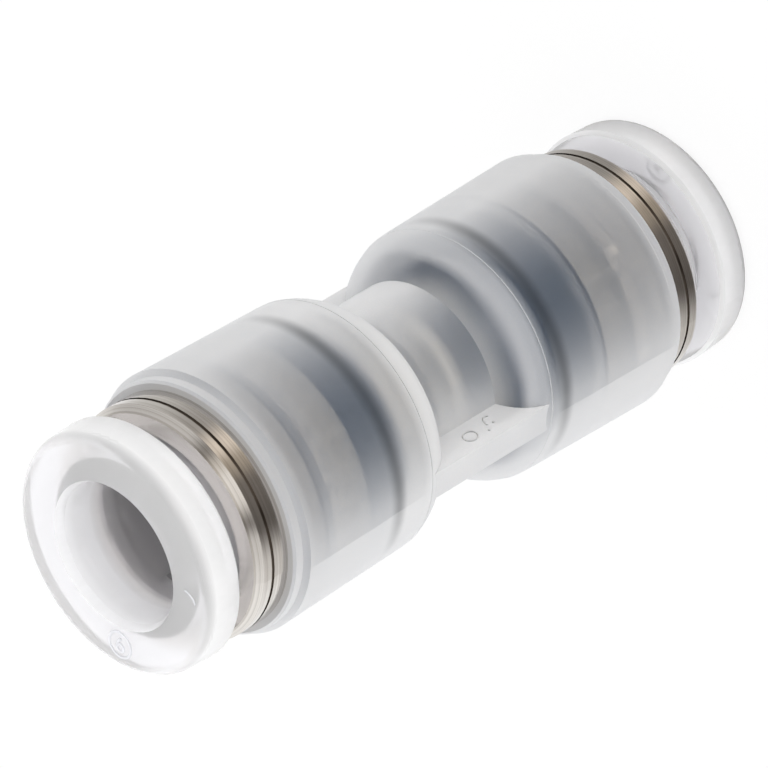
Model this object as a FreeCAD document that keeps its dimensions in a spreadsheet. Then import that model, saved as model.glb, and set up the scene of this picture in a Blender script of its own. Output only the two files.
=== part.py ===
import FreeCAD, Part
import math
import os

import Sketcher

# Straight push-in union for 6 mm tube.
# +Z runs along the bore towards the top port, the origin is the middle of the union,
# and the two flat webs beside the neck lie in the XZ plane. Lengths are in millimetres.
# Both ports hold the same four pieces, so each piece is drawn once for the top port,
# and the bottom port gets a second copy turned half a turn about X.

SIZES = {
    # what the union is made for
    "tube_radius": 3.00,
    # radii of one port, each a step out from the one before
    "seat_clearance": 0.05,
    "nose_step": 0.70,
    "sleeve_step": 0.50,
    "stem_bore_clearance": 0.10,
    "stem_wall": 0.80,
    "stem_clearance": 0.07,
    "guide_collar_step": 0.63,
    "guide_wall": 0.53,
    "collar_wall": 0.37,
    "barrel_step": 0.23,
    "barrel_draft": 0.16,
    # heights of one port, stepped in and out from the body's end face
    "body_half_length": 11.40,
    "guide_insert_length": 2.70,
    "claw_skirt_height": 1.70,
    "sleeve_pocket_depth": 2.13,
    "nose_length": 0.87,
    "stop_height": 0.90,
    "guide_protrusion": 1.64,
    "release_travel": 1.10,
    "flange_thickness": 1.72,
    # moulded body
    "through_radius": 2.10,
    "stop_chamfer": 0.25,
    "neck_wall": 0.97,
    "shoulder_arc_radius": 2.37,
    "collar_length": 0.47,
    "collar_rise": 0.10,
    "mould_edge": 0.10,
    "web_inset": 0.12,
    "web_thickness": 1.30,
    # elastic sleeve
    "sleeve_setback": 0.05,
    "sleeve_bore_clearance": 0.12,
    "sleeve_edge": 0.15,
    "sleeve_rim": 0.12,
    "lip_squeeze": 0.12,
    "lip_width": 0.22,
    "lip_depth": 1.55,
    "lip_ramp": 0.30,
    "funnel_depth": 0.95,
    # lock claws
    "claw_sheet": 0.30,
    "claw_rim_width": 0.38,
    "claw_bite": 0.10,
    "claw_drop": 1.07,
    "claw_slot_width": 0.45,
    "claw_slot_margin": 0.15,
    "claw_count": 8,
    # guide ring
    "guide_collar_length": 1.49,
    "guide_bevel_width": 0.27,
    "guide_bevel_length": 0.34,
    "guide_mouth_chamfer": 0.12,
    "guide_groove_height": 0.75,
    "guide_groove_width": 0.14,
    "guide_groove_depth": 0.09,
    "barb_margin": 0.30,
    "barb_length": 0.45,
    "barb_height": 0.12,
    # release ring
    "stop_play": 0.03,
    "bead_clearance": 0.20,
    "bead_land": 0.45,
    "bead_ramp": 0.60,
    "stem_idle": 0.05,
    "stem_nose": 0.20,
    "slit_width": 0.80,
    "slit_margin": 0.80,
    "slit_count": 4,
    "flange_overhang": 0.17,
    "flange_draft": 0.06,
    "flange_front_round": 0.42,
    "flange_back_edge": 0.16,
    "mouth_chamfer_width": 0.15,
    "mouth_chamfer_depth": 0.42,
}

SHEET = "Sizes"
FULL_TURN = 360
EDGE_START = 1
EDGE_END = 2


class Size:
    """A length with its number and the sheet expression that gives it."""

    def __init__(self, value, text):
        self.value = value
        self.text = text

    def __add__(self, other):
        other = as_size(other)
        return Size(self.value + other.value, f"({self.text} + {other.text})")

    def __sub__(self, other):
        other = as_size(other)
        return Size(self.value - other.value, f"({self.text} - {other.text})")

    def __mul__(self, other):
        other = as_size(other)
        return Size(self.value * other.value, f"({self.text} * {other.text})")

    def __truediv__(self, other):
        other = as_size(other)
        return Size(self.value / other.value, f"({self.text} / {other.text})")

    def __neg__(self):
        return Size(-self.value, f"(-{self.text})")


def as_size(number):
    """Give a plain number the form of a size."""
    return number if isinstance(number, Size) else Size(number, repr(number))


def root(size):
    """Square root of a size."""
    return Size(math.sqrt(size.value), f"sqrt({size.text})")


class Sizes:
    """The sheet's values by name, as attributes."""

    def __init__(self, values):
        for alias, value in values.items():
            setattr(self, alias, Size(value, f"{SHEET}.{alias}"))


ZERO = Size(0.0, "0")


class Levels(Sizes):
    """Sizes together with the radii and heights that follow from them."""

    def __init__(self, values):
        super().__init__(values)
        self.add_radii()
        self.add_heights()

    def add_radii(self):
        """Work out the radii of a port from the tube outwards."""
        self.seat_radius = self.tube_radius + self.seat_clearance
        self.neck_radius = self.seat_radius + self.neck_wall
        self.nose_radius = self.seat_radius + self.nose_step
        self.sleeve_radius = self.nose_radius + self.sleeve_step
        self.sleeve_bore_radius = self.tube_radius + self.sleeve_bore_clearance
        self.stem_bore_radius = self.tube_radius + self.stem_bore_clearance
        self.stem_radius = self.stem_bore_radius + self.stem_wall
        self.guide_bore_radius = self.stem_radius + self.stem_clearance
        self.guide_cavity_radius = self.guide_bore_radius + self.guide_collar_step
        self.bead_radius = self.guide_cavity_radius - self.bead_clearance
        self.guide_radius = self.guide_cavity_radius + self.guide_wall
        self.claw_root_radius = self.guide_radius - self.claw_rim_width
        self.flange_radius = self.guide_radius + self.flange_overhang
        self.collar_radius = self.guide_radius + self.collar_wall
        self.barrel_radius = self.collar_radius + self.barrel_step
        self.shoulder_radius = self.barrel_radius - self.barrel_draft

    def add_heights(self):
        """Work out the heights of a port from the body's end face inwards and outwards."""
        self.body_top = self.body_half_length
        self.claw_top = self.body_top - self.guide_insert_length
        self.guide_floor = self.claw_top - self.claw_skirt_height
        self.nose_high = self.guide_floor - self.sleeve_pocket_depth
        self.nose_low = self.nose_high - self.nose_length
        self.barb_low = self.claw_top + self.barb_margin
        self.barb_high = self.barb_low + self.barb_length
        self.collar_low = self.body_top - self.collar_length
        self.barrel_high = self.collar_low - self.collar_rise
        self.guide_top = self.body_top + self.guide_protrusion
        self.guide_ledge = self.guide_top - self.guide_collar_length
        self.bead_high = self.guide_ledge - self.stop_play
        self.stem_low = self.claw_top - self.stem_idle
        self.flange_low = self.guide_top + self.release_travel
        self.flange_high = self.flange_low + self.flange_thickness


def make_sheet(doc):
    """Put the driving sizes in the document's sheet."""
    sheet = doc.addObject("Spreadsheet::Sheet", SHEET)
    for row, (alias, value) in enumerate(SIZES.items(), start=1):
        sheet.set(f"A{row}", alias)
        sheet.set(f"B{row}", str(value))
        sheet.setAlias(f"B{row}", alias)
    doc.recompute()


def make_body(doc, label, bottom):
    """Start a piece; a bottom piece is turned half a turn about X."""
    body = doc.addObject("PartDesign::Body", label)
    body.Label = label
    if bottom:
        half_turn = FreeCAD.Rotation(FreeCAD.Vector(1, 0, 0), FULL_TURN / 2)
        body.Placement = FreeCAD.Placement(FreeCAD.Vector(0, 0, 0), half_turn)
    return body


def origin_feature(body, role):
    """Find one of the body's own origin planes or axes."""
    for feature in body.Origin.OriginFeatures:
        if feature.Role == role:
            return feature
    raise LookupError(role)


def make_sketch(body, name, role):
    """Attach an empty sketch to one of the body's origin planes."""
    sketch = body.newObject("Sketcher::SketchObject", name)
    sketch.AttachmentSupport = [(origin_feature(body, role), "")]
    sketch.MapMode = "FlatFace"
    return sketch


def pin_coordinate(sketch, kind, edge, end, size):
    """Fix one coordinate of an edge's end to a size."""
    row = sketch.addConstraint(Sketcher.Constraint(kind, edge, end, size.value))
    sketch.setExpression(f"Constraints[{row}]", size.text)


def pin_point(sketch, edge, end, point):
    """Fix both coordinates of an edge's end to sizes."""
    pin_coordinate(sketch, "DistanceX", edge, end, point[0])
    pin_coordinate(sketch, "DistanceY", edge, end, point[1])


def line_to(x, y):
    """Straight step of an outline."""
    return {"end": (as_size(x), as_size(y))}


def arc_to(x, y, radius):
    """Round step of an outline, bulging away from the material on its left."""
    step = line_to(x, y)
    step["radius"] = as_size(radius)
    return step


def make_arc(start, end, radius):
    """Arc edge from start to end, counter-clockwise and less than half a turn."""
    half_chord = (end - start) / 2
    height = math.sqrt(radius * radius - half_chord.Length * half_chord.Length)
    left = FreeCAD.Vector(-half_chord.y, half_chord.x, 0).normalize()
    centre = start + half_chord + left * height
    first = math.atan2(start.y - centre.y, start.x - centre.x)
    last = math.atan2(end.y - centre.y, end.x - centre.x)
    circle = Part.Circle(centre, FreeCAD.Vector(0, 0, 1), radius)
    return Part.ArcOfCircle(circle, first, last)


def draw_outline(sketch, steps):
    """Draw a closed outline and bind every corner and radius to the sheet."""
    corners = [FreeCAD.Vector(step["end"][0].value, step["end"][1].value, 0) for step in steps]
    for index, step in enumerate(steps):
        start = corners[index - 1]
        end = corners[index]
        if "radius" in step:
            edge = sketch.addGeometry(make_arc(start, end, step["radius"].value), False)
            row = sketch.addConstraint(Sketcher.Constraint("Radius", edge, step["radius"].value))
            sketch.setExpression(f"Constraints[{row}]", step["radius"].text)
        else:
            sketch.addGeometry(Part.LineSegment(start, end), False)
    for edge, step in enumerate(steps):
        following = (edge + 1) % len(steps)
        sketch.addConstraint(Sketcher.Constraint("Coincident", edge, EDGE_END, following, EDGE_START))
        pin_point(sketch, edge, EDGE_END, step["end"])


def mirror_steps(steps):
    """Carry the steps of an upper half on over the lower half, back to the axis."""
    lower = []
    for index in range(len(steps) - 1, -1, -1):
        x, y = steps[index]["end"]
        following = steps[index + 1] if index + 1 < len(steps) else {}
        if "radius" in following:
            lower.append(arc_to(x, -y, following["radius"]))
        else:
            lower.append(line_to(x, -y))
    return lower


def revolve(body, name, steps, kind="PartDesign::Revolution"):
    """Turn an outline, drawn as radius and height, a full turn about Z."""
    sketch = make_sketch(body, f"{name}Outline", "XZ_Plane")
    draw_outline(sketch, steps)
    feature = body.newObject(kind, name)
    feature.Profile = sketch
    feature.ReferenceAxis = (sketch, ["V_Axis"])
    feature.Angle = FULL_TURN
    body.Document.recompute()
    return feature


def box_steps(x_low, y_low, x_high, y_high):
    """Outline of a rectangle."""
    return [line_to(x_low, y_low), line_to(x_high, y_low), line_to(x_high, y_high), line_to(x_low, y_high)]


def shoulder_start(lv):
    """Height at which the neck runs into the round shoulder."""
    centre_radius = lv.shoulder_radius - lv.shoulder_arc_radius
    inset = lv.neck_radius - centre_radius
    drop = root(lv.shoulder_arc_radius * lv.shoulder_arc_radius - inset * inset)
    return lv.nose_low - drop


def body_outside(lv):
    """Upper half of the body's outside, from the neck to the end face on the axis."""
    edge = lv.mould_edge
    return [
        line_to(lv.neck_radius, shoulder_start(lv)),
        arc_to(lv.shoulder_radius, lv.nose_low, lv.shoulder_arc_radius),
        line_to(lv.barrel_radius, lv.barrel_high - edge),
        line_to(lv.barrel_radius - edge, lv.barrel_high),
        line_to(lv.collar_radius, lv.collar_low),
        line_to(lv.collar_radius, lv.body_top - edge),
        line_to(lv.collar_radius - edge, lv.body_top),
        line_to(ZERO, lv.body_top),
    ]


def body_inside(lv):
    """Upper half of the body's bores, from the through bore to the mouth on the axis."""
    return [
        line_to(lv.through_radius, lv.stop_height - lv.stop_chamfer),
        line_to(lv.through_radius + lv.stop_chamfer, lv.stop_height),
        line_to(lv.seat_radius, lv.stop_height),
        line_to(lv.seat_radius, lv.nose_low),
        line_to(lv.nose_radius, lv.nose_low),
        line_to(lv.nose_radius, lv.nose_high),
        line_to(lv.sleeve_radius, lv.nose_high),
        line_to(lv.sleeve_radius, lv.guide_floor),
        line_to(lv.guide_radius, lv.guide_floor),
        line_to(lv.guide_radius, lv.barb_low),
        line_to(lv.guide_radius + lv.barb_height, lv.barb_high),
        line_to(lv.guide_radius, lv.barb_high),
        line_to(lv.guide_radius, lv.body_top),
        line_to(ZERO, lv.body_top),
    ]


def make_union_body(doc, lv):
    """Moulded body: two barrels, a neck and two flat webs in one piece."""
    body = make_body(doc, "body", False)
    outside = body_outside(lv)
    revolve(body, "Barrels", outside + mirror_steps(outside))
    sketch = make_sketch(body, "WebOutline", "XZ_Plane")
    reach = lv.shoulder_radius - lv.web_inset
    draw_outline(sketch, box_steps(-reach, -lv.nose_low, reach, lv.nose_low))
    web = body.newObject("PartDesign::Pad", "Web")
    web.Profile = sketch
    web.SideType = "Symmetric"
    web.setExpression("Length", lv.web_thickness.text)
    doc.recompute()
    inside = body_inside(lv)
    revolve(body, "Bores", inside + mirror_steps(inside), kind="PartDesign::Groove")
    return body


def make_elastic_sleeve(doc, lv, label, bottom):
    """Rubber sleeve: a nose in the body's step, a sealing lip and a funnel for the tube."""
    body = make_body(doc, label, bottom)
    top = lv.guide_floor - lv.sleeve_setback
    lip_high = top - lv.lip_depth
    lip_low = lip_high - lv.lip_width
    edge = lv.sleeve_edge
    lip_radius = lv.tube_radius - lv.lip_squeeze
    steps = [
        line_to(lv.sleeve_bore_radius, lv.nose_low),
        line_to(lv.nose_radius - edge, lv.nose_low),
        line_to(lv.nose_radius, lv.nose_low + edge),
        line_to(lv.nose_radius, lv.nose_high),
        line_to(lv.sleeve_radius, lv.nose_high),
        line_to(lv.sleeve_radius, top - edge),
        line_to(lv.sleeve_radius - edge, top),
        line_to(lv.sleeve_radius - edge - lv.sleeve_rim, top),
        line_to(lv.sleeve_bore_radius, top - lv.funnel_depth),
        line_to(lv.sleeve_bore_radius, lip_high + lv.lip_ramp),
        line_to(lip_radius, lip_high),
        line_to(lip_radius, lip_low),
        line_to(lv.sleeve_bore_radius, lip_low - lv.lip_ramp),
    ]
    revolve(body, "Sleeve", steps)
    return body


def make_lock_claws(doc, lv, label, bottom):
    """Pressed sheet ring: a skirt on the body's step and fingers that slope in to the tube."""
    body = make_body(doc, label, bottom)
    sheet = lv.claw_sheet
    tip_radius = lv.tube_radius - lv.claw_bite
    run = lv.claw_root_radius - tip_radius
    slant = root(run * run + lv.claw_drop * lv.claw_drop)
    upright = sheet * slant / run
    tip = lv.claw_top - lv.claw_drop
    steps = [
        line_to(lv.guide_radius - sheet, lv.guide_floor),
        line_to(lv.guide_radius, lv.guide_floor),
        line_to(lv.guide_radius, lv.claw_top),
        line_to(lv.claw_root_radius, lv.claw_top),
        line_to(tip_radius, tip),
        line_to(tip_radius, tip - upright),
        line_to(lv.claw_root_radius, lv.claw_top - upright),
        line_to(lv.guide_radius - sheet, lv.claw_top - upright),
    ]
    revolve(body, "Claws", steps)
    sketch = make_sketch(body, "SlotOutline", "XY_Plane")
    half = lv.claw_slot_width / 2
    draw_outline(sketch, box_steps(ZERO, -half, lv.claw_root_radius - lv.claw_slot_margin, half))
    slot = body.newObject("PartDesign::Pocket", "Slot")
    slot.Profile = sketch
    slot.SideType = "Symmetric"
    slot.Type = "ThroughAll"
    doc.recompute()
    repeat_round(body, slot, "Slots", "claw_count")
    return body


def repeat_round(body, feature, name, count_alias):
    """Repeat a feature round Z, evenly, as often as the sheet says."""
    pattern = body.newObject("PartDesign::PolarPattern", name)
    pattern.Originals = [feature]
    pattern.Axis = (origin_feature(body, "Z_Axis"), [""])
    pattern.Angle = FULL_TURN
    pattern.Occurrences = SIZES[count_alias]
    pattern.setExpression("Occurrences", f"{SHEET}.{count_alias}")
    body.Tip = pattern
    body.Document.recompute()


def make_guide_ring(doc, lv, label, bottom):
    """Turned metal ring: pressed into the mouth, and a collar that keeps the release ring in."""
    body = make_body(doc, label, bottom)
    bore = lv.guide_bore_radius
    groove_low = lv.body_top + lv.guide_groove_height
    groove_high = groove_low + lv.guide_groove_width
    groove_radius = lv.guide_radius - lv.guide_groove_depth
    bevel_low = lv.guide_top - lv.guide_bevel_length
    steps = [
        line_to(lv.guide_cavity_radius, lv.claw_top),
        line_to(lv.guide_radius, lv.claw_top),
        line_to(lv.guide_radius, lv.barb_low),
        line_to(lv.guide_radius + lv.barb_height, lv.barb_high),
        line_to(lv.guide_radius, lv.barb_high),
        line_to(lv.guide_radius, groove_low),
        line_to(groove_radius, groove_low),
        line_to(groove_radius, groove_high),
        line_to(lv.guide_radius, groove_high),
        line_to(lv.guide_radius, bevel_low),
        line_to(lv.guide_radius - lv.guide_bevel_width, lv.guide_top),
        line_to(bore + lv.guide_mouth_chamfer, lv.guide_top),
        line_to(bore, lv.guide_top - lv.guide_mouth_chamfer),
        line_to(bore, lv.guide_ledge),
        line_to(lv.guide_cavity_radius, lv.guide_ledge),
    ]
    revolve(body, "Guide", steps)
    return body


def make_release_ring(doc, lv, label, bottom):
    """Push ring: a flange outside, and a slit stem whose bead snaps in under the guide's collar."""
    body = make_body(doc, label, bottom)
    front = lv.flange_front_round
    back = lv.flange_back_edge
    front_radius = lv.flange_radius - lv.flange_draft
    bead_low = lv.bead_high - lv.bead_land
    steps = [
        line_to(lv.stem_bore_radius, lv.stem_low),
        line_to(lv.stem_radius - lv.stem_nose, lv.stem_low),
        line_to(lv.stem_radius, lv.stem_low + lv.stem_nose),
        line_to(lv.stem_radius, bead_low - lv.bead_ramp),
        line_to(lv.bead_radius, bead_low),
        line_to(lv.bead_radius, lv.bead_high),
        line_to(lv.stem_radius, lv.bead_high),
        line_to(lv.stem_radius, lv.flange_low),
        line_to(lv.flange_radius - back, lv.flange_low),
        line_to(lv.flange_radius, lv.flange_low + back),
        line_to(front_radius, lv.flange_high - front),
        arc_to(front_radius - front, lv.flange_high, front),
        line_to(lv.stem_bore_radius + lv.mouth_chamfer_width, lv.flange_high),
        line_to(lv.stem_bore_radius, lv.flange_high - lv.mouth_chamfer_depth),
    ]
    revolve(body, "Ring", steps)
    sketch = make_sketch(body, "SlitOutline", "XZ_Plane")
    half = lv.slit_width / 2
    slit_high = lv.guide_ledge + lv.slit_margin
    draw_outline(sketch, box_steps(-half, lv.stem_low - lv.slit_margin, half, slit_high))
    slit = body.newObject("PartDesign::Pocket", "Slit")
    slit.Profile = sketch
    slit.Type = "ThroughAll"
    doc.recompute()
    repeat_round(body, slit, "Slits", "slit_count")
    return body


PORT_PIECES = {
    "elastic_sleeve": make_elastic_sleeve,
    "lock_claws": make_lock_claws,
    "guide_ring": make_guide_ring,
    "release_ring": make_release_ring,
}


def build(doc):
    """Make every piece of the union."""
    lv = Levels(SIZES)
    pieces = [make_union_body(doc, lv)]
    for end in ("top", "bottom"):
        for name, make_piece in PORT_PIECES.items():
            pieces.append(make_piece(doc, lv, f"{name}_{end}", end == "bottom"))
    doc.recompute()
    return pieces


def check(doc, pieces):
    """Stop before writing if any object failed or any piece isn't one valid solid."""
    for item in doc.Objects:
        for state in ("Invalid", "Error"):
            if state in item.State:
                raise RuntimeError(f"{item.Label} is {state}")
    for piece in pieces:
        shape = piece.Shape
        if shape.isNull() or not shape.isValid() or len(shape.Solids) != 1:
            raise RuntimeError(f"{piece.Label} isn't one valid solid")


def write(pieces):
    """Write each piece as a STEP file named after its label."""
    os.makedirs("parts", exist_ok=True)
    for piece in pieces:
        piece.Shape.exportStep(f"parts/{piece.Label}.step")
        box = piece.Shape.BoundBox
        print(f"{piece.Label}: {piece.Shape.Volume:.2f} mm3, z {box.ZMin:.2f} to {box.ZMax:.2f}")


def main():
    """Build, check and write the union."""
    doc = FreeCAD.newDocument("PushInUnion")
    make_sheet(doc)
    pieces = build(doc)
    check(doc, pieces)
    write(pieces)


main()
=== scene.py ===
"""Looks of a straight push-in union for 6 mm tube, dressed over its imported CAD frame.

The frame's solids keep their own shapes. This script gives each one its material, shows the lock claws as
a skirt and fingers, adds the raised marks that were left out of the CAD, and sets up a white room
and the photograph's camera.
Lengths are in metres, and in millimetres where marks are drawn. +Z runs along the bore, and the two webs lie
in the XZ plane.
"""
import logging
import math
from dataclasses import dataclass
from enum import Enum

import bmesh
import bpy
import numpy as np
from mathutils import Matrix, Vector


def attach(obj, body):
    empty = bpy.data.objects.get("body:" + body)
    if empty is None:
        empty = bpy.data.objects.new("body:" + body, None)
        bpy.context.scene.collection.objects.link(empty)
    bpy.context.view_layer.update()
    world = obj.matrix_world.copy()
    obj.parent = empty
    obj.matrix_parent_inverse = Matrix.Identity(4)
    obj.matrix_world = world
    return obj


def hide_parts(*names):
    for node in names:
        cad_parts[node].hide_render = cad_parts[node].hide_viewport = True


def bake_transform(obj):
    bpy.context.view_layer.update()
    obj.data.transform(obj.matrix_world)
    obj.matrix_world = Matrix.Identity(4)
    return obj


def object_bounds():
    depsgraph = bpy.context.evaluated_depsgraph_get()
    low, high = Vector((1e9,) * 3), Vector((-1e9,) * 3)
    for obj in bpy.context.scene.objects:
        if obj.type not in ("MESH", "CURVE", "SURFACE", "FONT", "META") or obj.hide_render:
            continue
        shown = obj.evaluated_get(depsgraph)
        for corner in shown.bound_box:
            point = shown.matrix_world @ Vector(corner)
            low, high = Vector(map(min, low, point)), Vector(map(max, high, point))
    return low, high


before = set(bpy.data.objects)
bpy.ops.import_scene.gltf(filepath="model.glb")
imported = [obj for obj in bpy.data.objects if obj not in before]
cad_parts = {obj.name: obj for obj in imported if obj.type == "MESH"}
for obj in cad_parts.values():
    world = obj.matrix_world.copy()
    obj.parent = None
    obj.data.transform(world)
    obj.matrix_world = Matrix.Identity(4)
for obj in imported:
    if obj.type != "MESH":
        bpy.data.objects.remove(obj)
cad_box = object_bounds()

MM = 0.001
# Distance in metres under which points are one.
WELD = 1e-7
# Depth in millimetres to which a mark reaches into its face.
SUNK = 0.02
# Points round a raised line, rings and points of a raised dot.
SECTION_POINTS = 14
DOT_RINGS = 9
DOT_POINTS = 20
# Degrees from point to point of an arc, and the fewest steps that it takes.
ARC_STEP = 5
ARC_LEAST = 8
# Degrees from +X round to the photograph's camera, seen from above.
CAMERA_BEARING = 49.4

Tree = bpy.types.NodeTree
Socket = bpy.types.NodeSocket

log = logging.getLogger("union")


class End(Enum):
    """The two ports, by the sign of the Z axis that each one faces."""

    TOP = 1
    BOTTOM = -1

    @property
    def suffix(self) -> str:
        """Name ending that the port's CAD nodes carry."""
        return self.name.lower()

    @property
    def release_body(self) -> str:
        """Name of the moving body that holds the port's release ring."""
        return f"release_{self.suffix}"


def linear(colour: str) -> tuple[float, float, float, float]:
    """Turn an sRGB colour into the linear values that shaders take, by the curve of the sRGB standard.

    Args:
        colour: Six hex digits.

    Returns:
        Linear red, green and blue, and an alpha of 1.
    """
    parts = [int(colour[i : i + 2], 16) / 255 for i in (0, 2, 4)]
    red, green, blue = (p / 12.92 if p <= 0.04045 else ((p + 0.055) / 1.055) ** 2.4 for p in parts)
    return red, green, blue, 1.0


def add_node(tree: Tree, kind: str, inputs: dict[str | int, object] | None = None) -> bpy.types.Node:
    """Add a node with its inputs.

    Args:
        tree: Node tree to add to.
        kind: Blender's name of the node type.
        inputs: Values, or sockets that give them, by the input's name or number. A name that no input has
            is a property of the node.

    Returns:
        The new node.
    """
    node = tree.nodes.new(kind)
    for name, value in (inputs or {}).items():
        if isinstance(value, Socket):
            tree.links.new(value, node.inputs[name])
        elif isinstance(name, int) or name in node.inputs:
            node.inputs[name].default_value = value
        else:
            setattr(node, name, value)
    return node


def maths(tree: Tree, operation: str, *values: float | Socket) -> Socket:
    """Work out a number.

    Args:
        tree: Node tree to add to.
        operation: Blender's name of the operation.
        values: Numbers, or sockets that give them, in the order of the node's inputs.

    Returns:
        Socket with the result.
    """
    node = add_node(tree, "ShaderNodeMath", {"operation": operation, **dict(enumerate(values))})
    return node.outputs[0]


def vector_maths(tree: Tree, operation: str, *values: tuple[float, ...] | Socket) -> Socket:
    """Work out a vector, or a number where the operation is a dot product or a length.

    Args:
        tree: Node tree to add to.
        operation: Blender's name of the operation.
        values: Vectors, or sockets that give them, in the order of the node's inputs.

    Returns:
        Socket with the result.
    """
    node = add_node(tree, "ShaderNodeVectorMath", {"operation": operation, **dict(enumerate(values))})
    return node.outputs["Value" if operation in ("DOT_PRODUCT", "LENGTH") else "Vector"]


def map_range(
    tree: Tree,
    value: Socket,
    start: float = 0.0,
    end: float = 1.0,
    low: float | Socket = 0.0,
    high: float | Socket = 1.0,
    course: str = "LINEAR",
) -> Socket:
    """Lead a result from low to high while a value goes from start to end, and hold it beyond them.

    Args:
        tree: Node tree to add to.
        value: Socket with the value.
        start: Value at which the result is low.
        end: Value at which the result is high. It may be under start.
        low: Result at the start.
        high: Result at the end.
        course: Blender's name for the way between them.

    Returns:
        Socket with the result.
    """
    node = add_node(
        tree,
        "ShaderNodeMapRange",
        {
            "interpolation_type": course,
            "Value": value,
            "From Min": start,
            "From Max": end,
            "To Min": low,
            "To Max": high,
        },
    )
    return node.outputs["Result"]


def mix_shaders(tree: Tree, share: float | Socket, first: Socket, second: Socket) -> Socket:
    """Mix two shaders.

    Args:
        tree: Node tree to add to.
        share: Share of the second one.
        first: Socket with the first shader.
        second: Socket with the second one.

    Returns:
        Socket with the mixed shader.
    """
    return add_node(tree, "ShaderNodeMixShader", {0: share, 1: first, 2: second}).outputs[0]


def mix_colours(
    tree: Tree,
    share: Socket,
    first: tuple[float, ...] | Socket,
    second: tuple[float, ...] | Socket,
) -> Socket:
    """Mix two colours.

    Args:
        tree: Node tree to add to.
        share: Share of the second one.
        first: First colour, or a socket that gives it.
        second: Second colour, or a socket that gives it.

    Returns:
        Socket with the mixed colour.
    """
    # Inputs 6 and 7 and output 2 are the ones for colours.
    return add_node(tree, "ShaderNodeMix", {"data_type": "RGBA", 0: share, 6: first, 7: second}).outputs[2]


def new_material(name: str) -> tuple[bpy.types.Material, Tree]:
    """Start an empty node material.

    Args:
        name: Name of the material.

    Returns:
        The material and its node tree.
    """
    material = bpy.data.materials.new(name)
    material.use_nodes = True
    material.node_tree.nodes.clear()
    return material, material.node_tree


def object_place(tree: Tree) -> Socket:
    """Socket with the place on the object, in metres."""
    return add_node(tree, "ShaderNodeTexCoord").outputs["Object"]


def grain_bump(tree: Tree, grain: float, depth: float, strength: float) -> Socket:
    """Normal of a fine even grain.

    Args:
        tree: Node tree to add to.
        grain: Width of one grain in metres.
        depth: Height of the grain in metres.
        strength: Share of the bump that shows, from 0 to 1.

    Returns:
        Socket with the bumped normal.
    """
    noise = add_node(
        tree,
        "ShaderNodeTexNoise",
        {"Scale": 1 / grain, "Detail": 2.0, "Roughness": 0.6, "Vector": object_place(tree)},
    )
    bump = add_node(
        tree,
        "ShaderNodeBump",
        {"Strength": strength, "Distance": depth, "Height": noise.outputs["Fac"]},
    )
    return bump.outputs["Normal"]


def surroundings(tree: Tree, place: Socket, stops: tuple[tuple[float, str], ...]) -> Socket:
    """Colour of what stands round the object, by the bearing of a place or direction from the Z axis.

    Args:
        tree: Node tree to add to.
        place: Socket with the place or the direction.
        stops: Bearings in degrees from -180 to 180, in order, each with its sRGB colour. They are counted
            from the camera's bearing, anticlockwise from above.

    Returns:
        Socket with the colour, smooth between the stops.
    """
    turn = math.radians(CAMERA_BEARING)
    ahead = vector_maths(tree, "DOT_PRODUCT", place, (math.cos(turn), math.sin(turn), 0))
    aside = vector_maths(tree, "DOT_PRODUCT", place, (-math.sin(turn), math.cos(turn), 0))
    share = map_range(tree, maths(tree, "ARCTAN2", aside, ahead), -math.pi, math.pi)
    ramp = add_node(tree, "ShaderNodeValToRGB", {"Fac": share})
    ramp.color_ramp.interpolation = "EASE"
    while len(ramp.color_ramp.elements) < len(stops):
        ramp.color_ramp.elements.new(0.5)
    for element, (degrees, _) in zip(ramp.color_ramp.elements, stops):
        element.position = (degrees + 180) / 360
    for element, (_, colour) in zip(ramp.color_ramp.elements, stops):
        element.color = linear(colour)
    return ramp.outputs["Color"]


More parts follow.
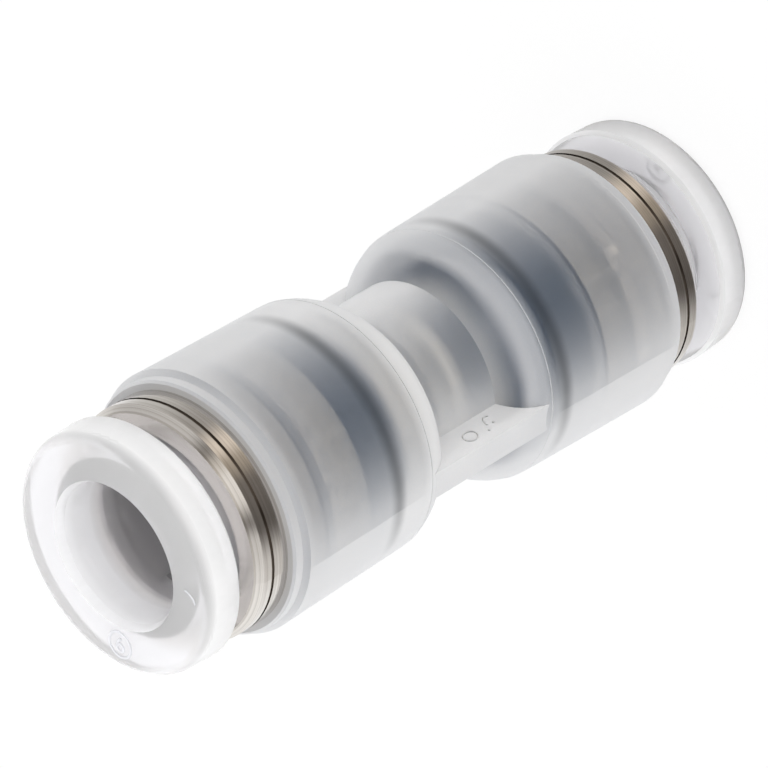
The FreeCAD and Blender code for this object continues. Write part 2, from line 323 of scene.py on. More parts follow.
@dataclass(frozen=True)
class FrostedPolypropylene:
    """Natural polypropylene from a spark-eroded mould, which leaves a fine even frost.

    It is clear enough to show the parts inside as soft shapes. It scatters blue light back and lets the
    warmer light through, so dark parts behind it look bluish. The frost is thickest where it is seen aslant,
    at the shoulders, round the mouths and on the webs. Its grain is drawn several times as coarse as the real
    one, so that it shows.
    """

    name: str = "frosted_polypropylene"
    colour: str = "F0EDE9"
    ior: float = 1.49
    roughness: float = 0.48
    roughness_inside: float = 0.36
    # Distance from the axis, either way, over which the look changes from the inside to the outside.
    wall_edge: float = 0.5 * MM
    # Bluish bloom on top.
    bloom_colour: str = "88B4FF"
    bloom_share: float = 0.2
    bloom_roughness: float = 0.4
    # Share of the light that the outside scatters, from speck to speck of the frost.
    haze_colour: str = "CCDAEA"
    haze_low: float = 0.09
    haze_high: float = 0.14
    speck_low: float = 0.35
    speck_high: float = 0.65
    # Share let through from inside, seen straight on and seen aslant, and the slants between the last two.
    clear_inside: float = 0.99
    clear_ahead: float = 1.0
    clear_aslant: float = 0.33
    frost_from: float = 0.205
    frost_full: float = 0.56
    # What is lost of it by height in the port and at the mouth, at the shoulder's rim, and on the webs.
    port_start: float = 8.2 * MM
    port_full: float = 8.9 * MM
    port_share: float = 0.08
    mouth_from: float = 10.3 * MM
    mouth_full: float = 11.0 * MM
    mouth_share: float = 0.44
    shoulder_start: float = 3.9 * MM
    shoulder_end: float = 3.3 * MM
    shoulder_foot: float = 4.85 * MM
    shoulder_rim: float = 5.15 * MM
    shoulder_share: float = 0.38
    web_from: float = 0.9 * MM
    web_full: float = 0.7 * MM
    web_share: float = 0.75
    # Bump of the frost.
    grain: float = 0.09 * MM
    grain_depth: float = 0.02 * MM
    grain_strength: float = 0.2
    # Painted shade: a dark line painted on the outside where the sleeve's pressed edge and the step under it
    # show through the wall, and the slants between which it is lost and clear.
    seal_shade_colour: str = "2A2D31"
    seal_height: float = 4.93 * MM
    seal_depth: float = 1.0 * MM
    seal_width: float = 0.55 * MM
    seal_share: float = 0.52
    seal_lost: float = 0.14
    seal_clear: float = 0.6

    def build(self) -> bpy.types.Material:
        """Make the material."""
        material, tree = new_material(self.name)
        place = object_place(tree)
        along = add_node(tree, "ShaderNodeSeparateXYZ", {0: place}).outputs["Z"]
        across = vector_maths(tree, "MULTIPLY", place, (1, 1, 0))
        normal = add_node(tree, "ShaderNodeNewGeometry").outputs["True Normal"]
        facing = vector_maths(tree, "DOT_PRODUCT", across, normal)
        edge = self.wall_edge
        speck = add_node(
            tree,
            "ShaderNodeTexNoise",
            {"Scale": 1 / self.grain, "Detail": 1.0, "Roughness": 0.5, "Vector": place},
        ).outputs["Fac"]
        haze = map_range(tree, speck, self.speck_low, self.speck_high, self.haze_low, self.haze_high)
        shader = add_node(
            tree,
            "ShaderNodeBsdfPrincipled",
            {
                "Base Color": linear(self.colour),
                "IOR": self.ior,
                "Specular Tint": linear(self.bloom_colour),
                "Sheen Weight": self.bloom_share,
                "Sheen Roughness": self.bloom_roughness,
                "Normal": grain_bump(tree, self.grain, self.grain_depth, self.grain_strength),
                "Roughness": map_range(tree, facing, -edge, edge, self.roughness_inside, self.roughness),
                "Transmission Weight": self.clearness(tree, along, across, facing),
            },
        )
        scatter = add_node(tree, "ShaderNodeBsdfDiffuse", {"Color": linear(self.haze_colour)})
        outside = map_range(tree, facing, -edge, edge, high=haze)
        hazy = mix_shaders(tree, outside, shader.outputs["BSDF"], scatter.outputs["BSDF"])
        # Painted shade: a dark matt line mixed over the outside of the wall, for the sleeve's edge seen
        # through it.
        seal_shade = add_node(tree, "ShaderNodeBsdfDiffuse", {"Color": linear(self.seal_shade_colour)})
        lined = mix_shaders(tree, self.seal_shade_line(tree, along, facing), hazy, seal_shade.outputs["BSDF"])
        add_node(tree, "ShaderNodeOutputMaterial", {"Surface": lined})
        return material

    def clearness(self, tree: Tree, along: Socket, across: Socket, facing: Socket) -> Socket:
        """Share of the light that a surface lets through.

        It is less at the mouths, at the shoulders, on the webs and where the surface is seen aslant.

        Args:
            tree: Node tree to add to.
            along: Socket with the height along the bore, in metres.
            across: Socket with the place across the bore, in metres.
            facing: Socket with the distance from the axis, below zero on surfaces that face the bore.

        Returns:
            Socket with the share, from 0 to 1.
        """
        height = maths(tree, "ABSOLUTE", along)
        port = map_range(tree, height, self.port_start, self.port_full, high=-self.port_share)
        mouth = map_range(tree, height, self.mouth_from, self.mouth_full, port, -self.mouth_share)
        web = map_range(tree, facing, self.web_from, self.web_full, high=-self.web_share)
        radius = vector_maths(tree, "LENGTH", across)
        rim = map_range(tree, radius, self.shoulder_foot, self.shoulder_rim, high=-self.shoulder_share)
        shoulder = map_range(tree, height, self.shoulder_start, self.shoulder_end, high=rim)
        thick = maths(tree, "ADD", web, maths(tree, "ADD", shoulder, mouth))
        ahead = maths(tree, "ADD", self.clear_ahead, thick)
        slant = add_node(tree, "ShaderNodeLayerWeight", {"Blend": 0.5}).outputs["Facing"]
        frost = map_range(tree, slant, self.frost_from, self.frost_full, ahead, self.clear_aslant)
        return map_range(tree, facing, -self.wall_edge, self.wall_edge, self.clear_inside, frost)

    def seal_shade_line(self, tree: Tree, along: Socket, facing: Socket) -> Socket:
        """Share of the painted shade: a dark line painted round the barrel where the sleeve's pressed edge
        shows through the wall.

        The edge lies under the wall, so the line shifts along the bore with the slant of the view. Its depth,
        width and share are set to what the eye meets in the photograph.

        Args:
            tree: Node tree to add to.
            along: Socket with the height along the bore, in metres.
            facing: Socket with the distance from the axis, below zero on surfaces that face the bore.

        Returns:
            Socket with the share, from 0 to 1.
        """
        geometry = add_node(tree, "ShaderNodeNewGeometry")
        sight = geometry.outputs["Incoming"]
        rise = add_node(tree, "ShaderNodeSeparateXYZ", {0: sight}).outputs["Z"]
        height = maths(tree, "ABSOLUTE", maths(tree, "MULTIPLY_ADD", rise, -self.seal_depth, along))
        apart = maths(tree, "ABSOLUTE", maths(tree, "SUBTRACT", height, self.seal_height))
        ahead = vector_maths(tree, "DOT_PRODUCT", sight, geometry.outputs["Normal"])
        outside = map_range(tree, facing, 0.0, self.wall_edge, high=self.seal_share)
        clear = map_range(tree, ahead, self.seal_lost, self.seal_clear, high=outside)
        return map_range(tree, apart, self.seal_width, 0.0, high=clear, course="SMOOTHSTEP")


@dataclass(frozen=True)
class MilkyPolypropylene:
    """Natural polypropylene from a smooth mould, which gives it a soft gloss over a milky depth.

    The thick flange is milkier than the thin stem, and its polished outer face and flat back are clearer
    than its side. The milk is counted where light enters, so every surface is clear from inside.
    """

    name: str = "milky_polypropylene"
    colour: str = "FAF9FF"
    ior: float = 1.49
    roughness: float = 0.24
    # Share let through on the flange's flat back, side and face, on the stem, and from inside.
    clear_back: float = 0.5
    clear_side: float = 0.15
    clear_face: float = 0.52
    clear_thin: float = 0.6
    clear_inside: float = 0.9
    # Outward share of the normal up to which a surface counts as the flat back.
    flat_back: float = -0.8
    # Heights between which the stem passes into the flange.
    stem_end: float = 13.5 * MM
    flange_start: float = 14.1 * MM
    # Light that spreads in the plastic.
    glow_share: float = 1.0
    glow_depth: float = 4.0 * MM

    def build(self) -> bpy.types.Material:
        """Make the material."""
        material, tree = new_material(self.name)
        along = add_node(tree, "ShaderNodeSeparateXYZ", {0: object_place(tree)}).outputs["Z"]
        height = maths(tree, "ABSOLUTE", along)
        geometry = add_node(tree, "ShaderNodeNewGeometry")
        way = add_node(tree, "ShaderNodeSeparateXYZ", {0: geometry.outputs["True Normal"]}).outputs["Z"]
        outward = maths(tree, "MULTIPLY", way, maths(tree, "SIGN", along))
        back = map_range(tree, outward, -1.0, self.flat_back, self.clear_back, self.clear_side)
        flange = map_range(tree, outward, low=back, high=self.clear_face)
        share = map_range(tree, height, self.stem_end, self.flange_start, self.clear_thin, flange)
        seen = map_range(tree, geometry.outputs["Backfacing"], low=share, high=self.clear_inside)
        shader = add_node(
            tree,
            "ShaderNodeBsdfPrincipled",
            {
                "Base Color": linear(self.colour),
                "Roughness": self.roughness,
                "IOR": self.ior,
                "Subsurface Weight": self.glow_share,
                "Subsurface Radius": (1, 1, 1),
                "Subsurface Scale": self.glow_depth,
                "Transmission Weight": seen,
            },
        )
        add_node(tree, "ShaderNodeOutputMaterial", {"Surface": shader.outputs["BSDF"]})
        return material


@dataclass(frozen=True)
class TurnedStainless:
    """Stainless steel turned on a lathe.

    Fine lines run round the ring and stretch its reflections along the axis. They are drawn about twice as
    coarse as a lathe leaves them, so that they show. The bottom of the ring's groove is painted darker, as
    painted shade for the deep narrow groove.
    """

    name: str = "turned_stainless"
    colour: str = "DCD8D3"
    line_colour: str = "C4BFB9"
    roughness: float = 0.16
    stretch: float = 0.3
    # Bump of the turning lines, and the part of their noise over which the steel takes their colour.
    line_pitch: float = 0.09 * MM
    line_depth: float = 0.002 * MM
    line_strength: float = 0.6
    line_low: float = 0.42
    line_high: float = 0.66
    # Painted shade in the groove: its middle and half its width along the bore, and the radius that it lies
    # under.
    groove_shade_colour: str = "8A837C"
    groove_height: float = 12.22 * MM
    groove_half: float = 0.09 * MM
    groove_edge: float = 5.11 * MM

    def build(self) -> bpy.types.Material:
        """Make the material."""
        material, tree = new_material(self.name)
        place = object_place(tree)
        along = add_node(tree, "ShaderNodeSeparateXYZ", {0: place}).outputs["Z"]
        lines = add_node(
            tree,
            "ShaderNodeTexNoise",
            {"noise_dimensions": "1D", "Scale": 1 / self.line_pitch, "Detail": 3.0, "W": along},
        ).outputs["Fac"]
        bump = add_node(
            tree,
            "ShaderNodeBump",
            {"Strength": self.line_strength, "Distance": self.line_depth, "Height": lines},
        )
        tangent = add_node(tree, "ShaderNodeTangent", {"direction_type": "RADIAL", "axis": "Z"})
        radius = vector_maths(tree, "LENGTH", vector_maths(tree, "MULTIPLY", place, (1, 1, 0)))
        sunk = maths(tree, "LESS_THAN", radius, self.groove_edge)
        height = maths(tree, "ABSOLUTE", along)
        level = maths(tree, "COMPARE", height, self.groove_height, self.groove_half)
        marked = map_range(tree, lines, self.line_low, self.line_high)
        steel = mix_colours(tree, marked, linear(self.colour), linear(self.line_colour))
        # Painted shade: the steel is coloured darker at the bottom of the groove, where shade falls.
        colour = mix_colours(tree, maths(tree, "MULTIPLY", sunk, level), steel, linear(self.groove_shade_colour))
        shader = add_node(
            tree,
            "ShaderNodeBsdfPrincipled",
            {
                "Base Color": colour,
                "Metallic": 1.0,
                "Roughness": self.roughness,
                "Anisotropic": self.stretch,
                "Normal": bump.outputs["Normal"],
                "Tangent": tangent.outputs["Tangent"],
            },
        )
        add_node(tree, "ShaderNodeOutputMaterial", {"Surface": shader.outputs["BSDF"]})
        return material


@dataclass(frozen=True)
class SpringStainless:
    """Stainless spring sheet, rolled and pressed to shape: smooth grey metal with blurred reflections.

    The slight waviness that the press leaves is drawn deeper than the real one, so that it shows.
    """

    name: str = "spring_stainless"
    colour: str = "DAD6D0"
    roughness: float = 0.30
    grain: float = 0.3 * MM
    grain_depth: float = 0.004 * MM
    grain_strength: float = 0.3

    def build(self) -> bpy.types.Material:
        """Make the material."""
        material, tree = new_material(self.name)
        shader = add_node(
            tree,
            "ShaderNodeBsdfPrincipled",
            {
                "Base Color": linear(self.colour),
                "Metallic": 1.0,
                "Roughness": self.roughness,
                "Normal": grain_bump(tree, self.grain, self.grain_depth, self.grain_strength),
            },
        )
        add_node(tree, "ShaderNodeOutputMaterial", {"Surface": shader.outputs["BSDF"]})
        return material


@dataclass(frozen=True)
class NitrileRubber:
    """Nitrile rubber from a steel mould: near black, tinted bluish as painted light for the blue that the
    frosted plastic over it scatters.

    Its grain is drawn coarser than the mould leaves it, so that it shows.
    """

    name: str = "nitrile_rubber"
    colour: str = "142330"
    roughness: float = 0.6
    grain: float = 0.1 * MM
    grain_depth: float = 0.01 * MM
    grain_strength: float = 0.5

    def build(self) -> bpy.types.Material:
        """Make the material."""
        material, tree = new_material(self.name)
        shader = add_node(
            tree,
            "ShaderNodeBsdfPrincipled",
            {
                # Painted light: the base colour is tinted bluish for the blue light that the plastic over the
                # rubber scatters.
                "Base Color": linear(self.colour),
                "Roughness": self.roughness,
                "Normal": grain_bump(tree, self.grain, self.grain_depth, self.grain_strength),
            },
        )
        add_node(tree, "ShaderNodeOutputMaterial", {"Surface": shader.outputs["BSDF"]})
        return material


@dataclass(frozen=True)
class WhiteFloor:
    """Matt white sheet with grey cards round the object, which only reflections show.

    The camera and clear plastic see it as plain white, with a trace of shadow. The cards are darkest on the
    photographer's side, with a light gap beside it, which puts streaks along turned metal. They lie still
    when the camera moves.
    """

    name: str = "white_floor"
    colour: str = "F5F5F5"
    glow: float = 1.01
    shadow_share: float = 0.15
    cards: tuple[tuple[float, str], ...] = (
        (-115, "F5F5F5"),
        (-78, "D4D2D0"),
        (-42, "625E5B"),
        (-5, "726D69"),
        (16, "ABA194"),
        (34, "EADFD2"),
        (58, "A5A29F"),
        (115, "C9C8C6"),
        (165, "F5F5F5"),
    )

    def build(self) -> bpy.types.Material:
        """Make the material."""
        material, tree = new_material(self.name)
        path = add_node(tree, "ShaderNodeLightPath")
        sheet = add_node(tree, "ShaderNodeBsdfDiffuse", {"Color": linear(self.colour)}).outputs["BSDF"]
        glow = add_node(tree, "ShaderNodeEmission", {"Strength": self.glow}).outputs["Emission"]
        lit = mix_shaders(tree, self.shadow_share, glow, sheet)
        cards = surroundings(tree, object_place(tree), self.cards)
        mirrored = add_node(tree, "ShaderNodeBsdfDiffuse", {"Color": cards}).outputs["BSDF"]
        soft = mix_shaders(tree, path.outputs["Is Diffuse Ray"], mirrored, sheet)
        clear = maths(tree, "MAXIMUM", path.outputs["Is Camera Ray"], path.outputs["Is Transmission Ray"])
        add_node(tree, "ShaderNodeOutputMaterial", {"Surface": mix_shaders(tree, clear, soft, lit)})
        return material


def add_object(name: str, data: bpy.types.Mesh | bpy.types.Camera) -> bpy.types.Object:
    """Put a new object into the scene.

    Args:
        name: Name of the object.
        data: Its mesh or camera.

    Returns:
        The new object.
    """
    added = bpy.data.objects.new(name, data)
    bpy.context.scene.collection.objects.link(added)
    return added


def dress(node: str, material: bpy.types.Material) -> None:
    """Give a CAD node its finish.

    Args:
        node: Name of the CAD node.
        material: Material for all of its faces.
    """
    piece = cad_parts[node]
    for slot in piece.material_slots:
        slot.material = material
    log.info("%s: %s", node, material.name)


def make_piece(name: str, grid: np.ndarray, material: bpy.types.Material, body: str) -> None:
    """Make a closed piece from a grid of points that closes round its second index.

    Rings that are drawn in to a point, and first and last rings that meet, are welded.

    Args:
        name: Name of the piece.
        grid: Places in metres, rings by points by three.
        material: Finish of the piece.
        body: CAD body that it rides on.
    """
    rings, count, _ = grid.shape
    rows, columns = np.meshgrid(np.arange(rings - 1), np.arange(count), indexing="ij")
    first = rows * count + columns
    second = rows * count + (columns + 1) % count
    faces = np.stack([first, second, second + count, first + count], axis=-1).reshape(-1, 4)
    mesh = bpy.data.meshes.new(name)
    mesh.from_pydata(grid.reshape(-1, 3).tolist(), [], faces.tolist())
    shell = bmesh.new()
    shell.from_mesh(mesh)
    bmesh.ops.remove_doubles(shell, verts=shell.verts, dist=WELD)
    bmesh.ops.recalc_face_normals(shell, faces=shell.faces)
    shell.to_mesh(mesh)
    shell.free()
    mesh.polygons.foreach_set("use_smooth", np.ones(len(mesh.polygons), dtype=bool))
    mesh.materials.append(material)
    mesh.update()
    piece = add_object(name, mesh)
    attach(piece, body)
    log.info("%s: %d faces on %s", name, len(mesh.polygons), body)


def arc(centre: tuple[float, float], radii: tuple[float, float], start: float, sweep: float) -> np.ndarray:
    """Points of an elliptical arc: centre + (a cos t, b sin t), t from start to start + sweep.

    Args:
        centre: Middle of the ellipse.
        radii: Half its width and half its height.
        start: First angle in degrees, counted from the right.
        sweep: Angle covered in degrees, anticlockwise where positive.

    Returns:
        Points by two, one every 5 degrees or so.
    """
    steps = max(ARC_LEAST, round(abs(sweep) / ARC_STEP))
    turn = np.radians(np.linspace(start, start + sweep, steps + 1))
    return np.stack([centre[0] + radii[0] * np.cos(turn), centre[1] + radii[1] * np.sin(turn)], axis=-1)


def figure_six(height: float, loop_share: float = 0.27, sweep: float = 62) -> np.ndarray:
    """Points of a 6 round the origin: a stem arc that runs into a full circle at its left.

    Args:
        height: Height of the figure between the middles of its lines.
        loop_share: Radius of the circle, as a share of the height.
        sweep: Angle of the stem's arc, in degrees.

    Returns:
        Points by two.
    """
    loop = loop_share * height
    bend = (height - loop) / math.sin(math.radians(sweep))
    level = loop - height / 2
    stem = arc((bend - loop, level), (bend, bend), 180 - sweep, sweep)
    return np.concatenate([stem, arc((0, level), (loop, loop), 180, 360)[1:]])


@dataclass(frozen=True)
class Face:
    """Flat face that carries marks.

    Attributes:
        origin: Middle of the marks' plan, in millimetres.
        right: Direction of the plan's first coordinate.
        up: Direction of its second coordinate.
        body: CAD body that the marks ride on.
        slot: The record's material slot; not used.
        material: Finish of the marks.
    """

    origin: tuple[float, float, float]
    right: tuple[float, float, float]
    up: tuple[float, float, float]
    body: str
    slot: str
    material: bpy.types.Material

    def raise_line(self, name: str, path: np.ndarray, width: float, height: float) -> None:
        """Raise a rounded line along a path on the face.

        Its section is u = w/2 cos a across the path and h sin a above the face, or SUNK sin a below it. Where
        the path is open, both grow from the ends as sqrt(1 - (1 - s / (w/2))^2) over the first half width s.

        Args:
            name: Name of the piece.
            path: Points by two in millimetres, closed where the last one repeats the first.
            width: Width of the line in millimetres.
            height: Height of the line over the face in millimetres.
        """
        steps = np.linalg.norm(np.diff(path, axis=0), axis=1)
        along = np.concatenate([[0], np.cumsum(steps)])
        closed = np.allclose(path[0], path[-1])
        way = np.gradient(path, axis=0)
        if closed:
            way[0] = way[-1] = path[1] - path[-2]
        way /= np.linalg.norm(way, axis=1, keepdims=True)
        across = np.stack([-way[:, 1], way[:, 0]], axis=-1)
        near = np.clip(np.minimum(along, along[-1] - along) / (width / 2), 0, 1)
        swell = np.ones(len(path)) if closed else np.sqrt(1 - (1 - near) ** 2)
        turn = np.linspace(0, 2 * math.pi, SECTION_POINTS, endpoint=False)
        rise = np.where(np.sin(turn) > 0, height, SUNK) * np.sin(turn)
        flat = path[:, None, :] + across[:, None, :] * (swell[:, None] * width / 2 * np.cos(turn))[..., None]
        self.place(name, flat, swell[:, None] * rise)

    def raise_dot(self, name: str, centre: tuple[float, float], width: float, height: float) -> None:
        """Raise a round bump: rings of radius w/2 cos a at the height h sin a, shut by a shallow cap below.

        Args:
            name: Name of the piece.
            centre: Its middle in the plan, in millimetres.
            width: Width of the bump in millimetres.
            height: Height of the bump in millimetres.
        """
        lift = np.linspace(-math.pi / 2, math.pi / 2, DOT_RINGS)
        turn = np.linspace(0, 2 * math.pi, DOT_POINTS, endpoint=False)
        ring = np.stack([np.cos(turn), np.sin(turn)], axis=-1)
        flat = np.array(centre) + ring[None] * (width / 2 * np.cos(lift))[:, None, None]
        rise = np.where(lift > 0, height, SUNK) * np.sin(lift)
        self.place(name, flat, np.repeat(rise[:, None], len(turn), axis=1))

    def place(self, name: str, flat: np.ndarray, rise: np.ndarray) -> None:
        """Carry a plan and its heights onto the face: origin + u right + v up + h (right x up).

        Args:
            name: Name of the piece.
            flat: Plan places in millimetres, rings by points by two.
            rise: Heights in millimetres, rings by points.
        """
        right, up = np.array(self.right), np.array(self.up)
        out = np.cross(right, up)
        grid = np.array(self.origin) + flat[..., :1] * right + flat[..., 1:] * up + rise[..., None] * out
        make_piece(name, grid * MM, self.material, self.body)


@dataclass(frozen=True)
class RingMarks:
    """Round size mark with a plain 6, and a short arc, on the outer face of a release ring. Millimetres."""

    end: End
    material: bpy.types.Material
    face_height: float = 15.86
    radius: float = 4.09
    bearing: float = -81.6
    circle: float = 0.58
    circle_line: float = 0.13
    figure: float = 0.62
    figure_line: float = 0.15
    arc_centre: tuple[float, float] = (3.8, 0.02)
    arc_radii: tuple[float, float] = (0.66, 0.58)
    arc_turn: tuple[float, float] = (15, 75)
    arc_line: float = 0.09
    lift: float = 0.04

    def build(self) -> None:
        """Raise the marks. The top of the 6 points at the bore."""
        sign = self.end.value
        turned = Matrix.Diagonal((1, sign, sign))
        tilt = math.radians(self.bearing)
        outward = Vector((math.cos(tilt), math.sin(tilt), 0))
        face = Face(
            origin=tuple(turned @ (outward * self.radius + Vector((0, 0, self.face_height)))),
            right=tuple(turned @ Vector((-outward.y, outward.x, 0))),
            up=tuple(turned @ -outward),
            body=self.end.release_body,
            slot="ring_plastic",
            material=self.material,
        )
        place = self.end.suffix
        circle = arc((0, 0), (self.circle, self.circle), 90, 360)
        face.raise_line(f"mark_circle_{place}", circle, self.circle_line, self.lift)
        face.raise_line(f"mark_six_{place}", figure_six(self.figure), self.figure_line, self.lift)
        whole = Face(
            origin=tuple(turned @ Vector((0, 0, self.face_height))),
            right=(1, 0, 0),
            up=(0, sign, 0),
            body=self.end.release_body,
            slot="ring_plastic",
            material=self.material,
        )
        bow = arc(self.arc_centre, self.arc_radii, *self.arc_turn)
        whole.raise_line(f"mark_arc_{place}", bow, self.arc_line, self.lift)


@dataclass(frozen=True)
class WebMarks:
    """Small plain marks of the mould on the web's side: an oval, and an arc over two dots. Millimetres."""

    material: bpy.types.Material
    half_thickness: float = 0.65
    oval_centre: tuple[float, float] = (-4.745, 0.525)
    oval_radii: tuple[float, float] = (0.285, 0.335)
    arc_centre: tuple[float, float] = (-4.72, -0.82)
    arc_radii: tuple[float, float] = (0.45, 0.30)
    arc_turn: tuple[float, float] = (330, 120)
    dots: tuple[tuple[float, float], ...] = ((-4.73, -0.83), (-4.97, -0.33))
    line: float = 0.09
    dot: float = 0.12
    lift: float = 0.04

    def build(self) -> None:
        """Raise the marks on the side that faces +Y."""
        face = Face(
            origin=(0, self.half_thickness, 0),
            right=(-1, 0, 0),
            up=(0, 0, 1),
            body="union",
            slot="body_plastic",
            material=self.material,
        )
        oval = arc(self.oval_centre, self.oval_radii, 90, 360)
        face.raise_line("web_oval", oval, self.line, self.lift)
        face.raise_line("web_arc", arc(self.arc_centre, self.arc_radii, *self.arc_turn), self.line, self.lift)
        for number, centre in enumerate(self.dots, start=1):
            face.raise_dot(f"web_dot_{number}", centre, self.dot, self.lift)


@dataclass(frozen=True)
class WitnessLine:
    """Hairline that the mould's joint leaves round a shoulder of the body. Millimetres and degrees."""

    end: End
    material: bpy.types.Material
    height: float = 3.53
    radius: float = 5.52
    slope: float = 78.0
    width: float = 0.04
    lift: float = 0.02
    section_points: int = 10
    spin_points: int = 145

    def build(self) -> None:
        """Raise the line: its section (w/2 cos a, h sin a) leans with the shoulder and circles the axis."""
        lean = math.radians(self.slope)
        turn = np.linspace(0, 2 * math.pi, self.section_points, endpoint=False)
        along = self.width / 2 * np.cos(turn)
        rise = self.lift * np.sin(turn)
        radius = self.radius + rise * math.sin(lean) + along * math.cos(lean)
        height = self.height - rise * math.cos(lean) + along * math.sin(lean)
        spin = np.linspace(0, 2 * math.pi, self.spin_points)[:, None]
        flat = np.broadcast_to(self.end.value * height, (len(spin), len(turn)))
        grid = np.stack([radius * np.cos(spin), radius * np.sin(spin), flat], axis=-1)
        make_piece(f"witness_line_{self.end.suffix}", grid * MM, self.material, "union")


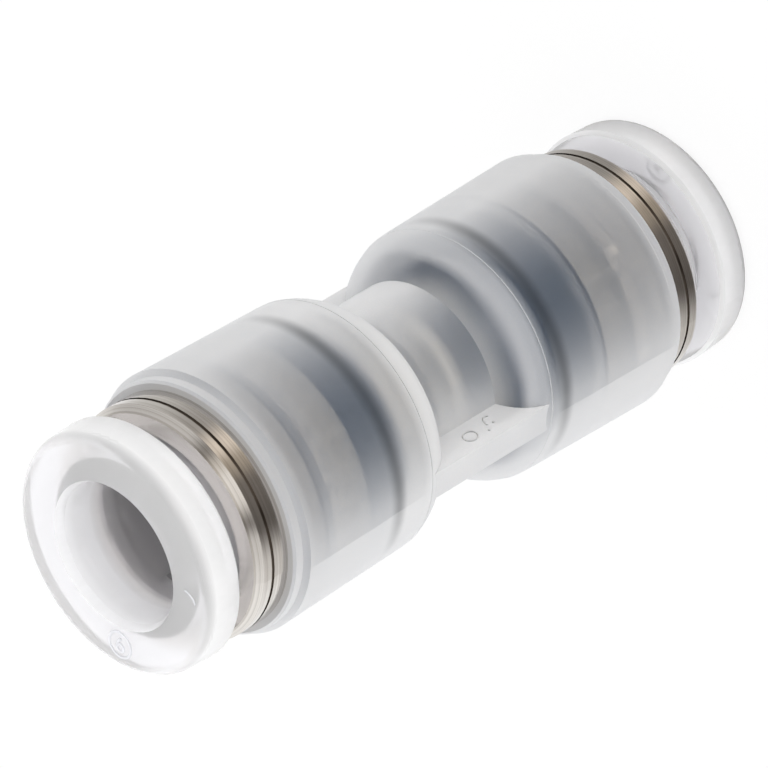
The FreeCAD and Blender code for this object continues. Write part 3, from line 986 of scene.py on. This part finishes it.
@dataclass(frozen=True)
class LockClaws:
    """Pressed claws as two pieces of the CAD solid's own shape: the skirt, which rides on the body, and the
    fingers.

    The release ring's stem bends the real fingers down as it is pressed in. Here the fingers' piece stays
    where it is.
    """

    end: End
    material: bpy.types.Material
    # Radius at which the fingers leave the skirt, with a little slack to find it.
    root_radius: float = 4.75 * MM
    root_slack: float = 0.02 * MM
    # Heights over the middle of the fitting at the fingers' roots and tips.
    root_height: float = 8.35 * MM
    tip_height: float = 7.63 * MM

    def part(self, name: str, fingers: bool) -> bpy.types.Object:
        """Copy one part of the claws and close it where the fingers leave the skirt.

        Args:
            name: Name of the piece.
            fingers: True for the fingers, false for the skirt.

        Returns:
            The new object.
        """
        node = f"lock_claws_{self.end.suffix}"
        shell = bmesh.new()
        shell.from_mesh(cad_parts[node].data)
        bmesh.ops.remove_doubles(shell, verts=shell.verts, dist=WELD)
        reach = self.root_radius + self.root_slack
        others = [face for face in shell.faces if all(v.co.xy.length < reach for v in face.verts) != fingers]
        bmesh.ops.delete(shell, geom=others, context="FACES")
        bmesh.ops.bridge_loops(shell, edges=[edge for edge in shell.edges if edge.is_boundary])
        bmesh.ops.recalc_face_normals(shell, faces=shell.faces)
        mesh = bpy.data.meshes.new(name)
        shell.to_mesh(mesh)
        shell.free()
        mesh.materials.clear()
        mesh.materials.append(self.material)
        mesh.shade_flat()
        piece = add_object(name, mesh)
        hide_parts(node)
        log.info("%s: %d faces for %s", name, len(mesh.polygons), node)
        return piece

    def build(self) -> None:
        """Make both pieces. The skirt rides on the body, and the fingers stay where they are."""
        place = self.end.suffix
        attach(self.part(f"claw_skirt_{place}", False), "union")
        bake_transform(self.part(f"claw_fingers_{place}", True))


@dataclass(frozen=True)
class Studio:
    """Camera, room light and floor.

    The camera comes from the fit of one camera to the photograph's circles and outlines.
    """

    # Place in millimetres, direction of view, and the picture's right in the model's frame.
    camera_place: tuple[float, float, float] = (165.02, 192.32, 193.51)
    view_way: tuple[float, float, float] = (-0.5186, -0.6026, -0.6066)
    image_right: tuple[float, float, float] = (0.7284, 0.0602, -0.6825)
    lens: float = 372.7
    sensor: float = 36.0
    clip_near: float = 0.01
    clip_far: float = 10.0
    floor_size: float = 1.2
    floor_gap: float = 0.05 * MM
    # Strength of the room in reflections, and as light and through clear plastic.
    gloss_strength: float = 1.1
    room_strength: float = 1.36
    daylight: tuple[tuple[float, str], ...] = (
        (-180, "F3F3F3"),
        (-80, "FFFFFF"),
        (80, "E6E6E6"),
        (180, "F3F3F3"),
    )
    flags: tuple[tuple[float, str], ...] = (
        (-110, "FFFFFF"),
        (-55, "D8D6D4"),
        (-38, "7A7673"),
        (-14, "EFECE8"),
        (8, "F6F3EF"),
        (22, "D8D2CA"),
        (40, "85817D"),
        (60, "CFCDCB"),
        (120, "C8C7C6"),
        (165, "FFFFFF"),
    )

    def add_camera(self) -> None:
        """Put the camera where the photograph was taken from."""
        forward = Vector(self.view_way).normalized()
        right = Vector(self.image_right)
        right = (right - forward * right.dot(forward)).normalized()
        up = right.cross(forward)
        turn = Matrix((right, up, -forward)).transposed()
        data = bpy.data.cameras.new("camera")
        data.lens = self.lens
        data.sensor_width = self.sensor
        data.clip_start = self.clip_near
        data.clip_end = self.clip_far
        camera = add_object("camera", data)
        camera.matrix_world = Matrix.Translation(Vector(self.camera_place) * MM) @ turn.to_4x4()
        bpy.context.scene.camera = camera

    def add_floor(self) -> None:
        """Lay a white sheet under the lower release ring, clear of its marks."""
        half = self.floor_size / 2
        height = cad_box[0][2] - self.floor_gap
        corners = [(-half, -half, height), (half, -half, height), (half, half, height), (-half, half, height)]
        mesh = bpy.data.meshes.new("floor")
        mesh.from_pydata(corners, [], [(0, 1, 2, 3)])
        mesh.materials.append(WhiteFloor().build())
        add_object("floor", mesh)

    def add_world(self) -> None:
        """Make a white room, plain white to the camera.

        Its light is a little stronger from the picture's lower right, and reflections show it with grey flags.
        """
        world = bpy.data.worlds.new("world")
        world.use_nodes = True
        tree = world.node_tree
        tree.nodes.clear()
        path = add_node(tree, "ShaderNodeLightPath")
        seen = path.outputs["Is Camera Ray"]
        soft = maths(tree, "MAXIMUM", path.outputs["Is Diffuse Ray"], path.outputs["Is Transmission Ray"])
        lighting = map_range(tree, soft, low=self.gloss_strength, high=self.room_strength)
        strength = map_range(tree, seen, low=lighting)
        way = add_node(tree, "ShaderNodeTexCoord").outputs["Generated"]
        daylight = surroundings(tree, way, self.daylight)
        flags = surroundings(tree, way, self.flags)
        colour = mix_colours(tree, path.outputs["Is Glossy Ray"], daylight, flags)
        plain = mix_colours(tree, seen, colour, linear("FFFFFF"))
        room = add_node(tree, "ShaderNodeBackground", {"Color": plain, "Strength": strength})
        add_node(tree, "ShaderNodeOutputWorld", {"Surface": room.outputs[0]})
        bpy.context.scene.world = world

    def build(self) -> None:
        """Set up everything that isn't part of the object."""
        self.add_camera()
        self.add_floor()
        self.add_world()
        bpy.context.scene.view_settings.view_transform = "Standard"


def main() -> None:
    """Dress every piece, add the marks and set up the studio."""
    logging.basicConfig(level=logging.INFO, format="%(name)s: %(message)s")
    frosted = FrostedPolypropylene().build()
    milky = MilkyPolypropylene().build()
    turned = TurnedStainless().build()
    spring = SpringStainless().build()
    rubber = NitrileRubber().build()
    raised = MilkyPolypropylene(
        name="raised_polypropylene",
        colour="E8E9EE",
        clear_side=0.3,
        clear_face=0.3,
        glow_share=0.0,
    ).build()
    dress("body", frosted)
    for end in End:
        dress(f"elastic_sleeve_{end.suffix}", rubber)
        LockClaws(end, spring).build()
        dress(f"guide_ring_{end.suffix}", turned)
        dress(f"release_ring_{end.suffix}", milky)
        RingMarks(end, raised).build()
        WitnessLine(end, frosted).build()
    WebMarks(frosted).build()
    Studio().build()


if __name__ == "__main__":
    main()
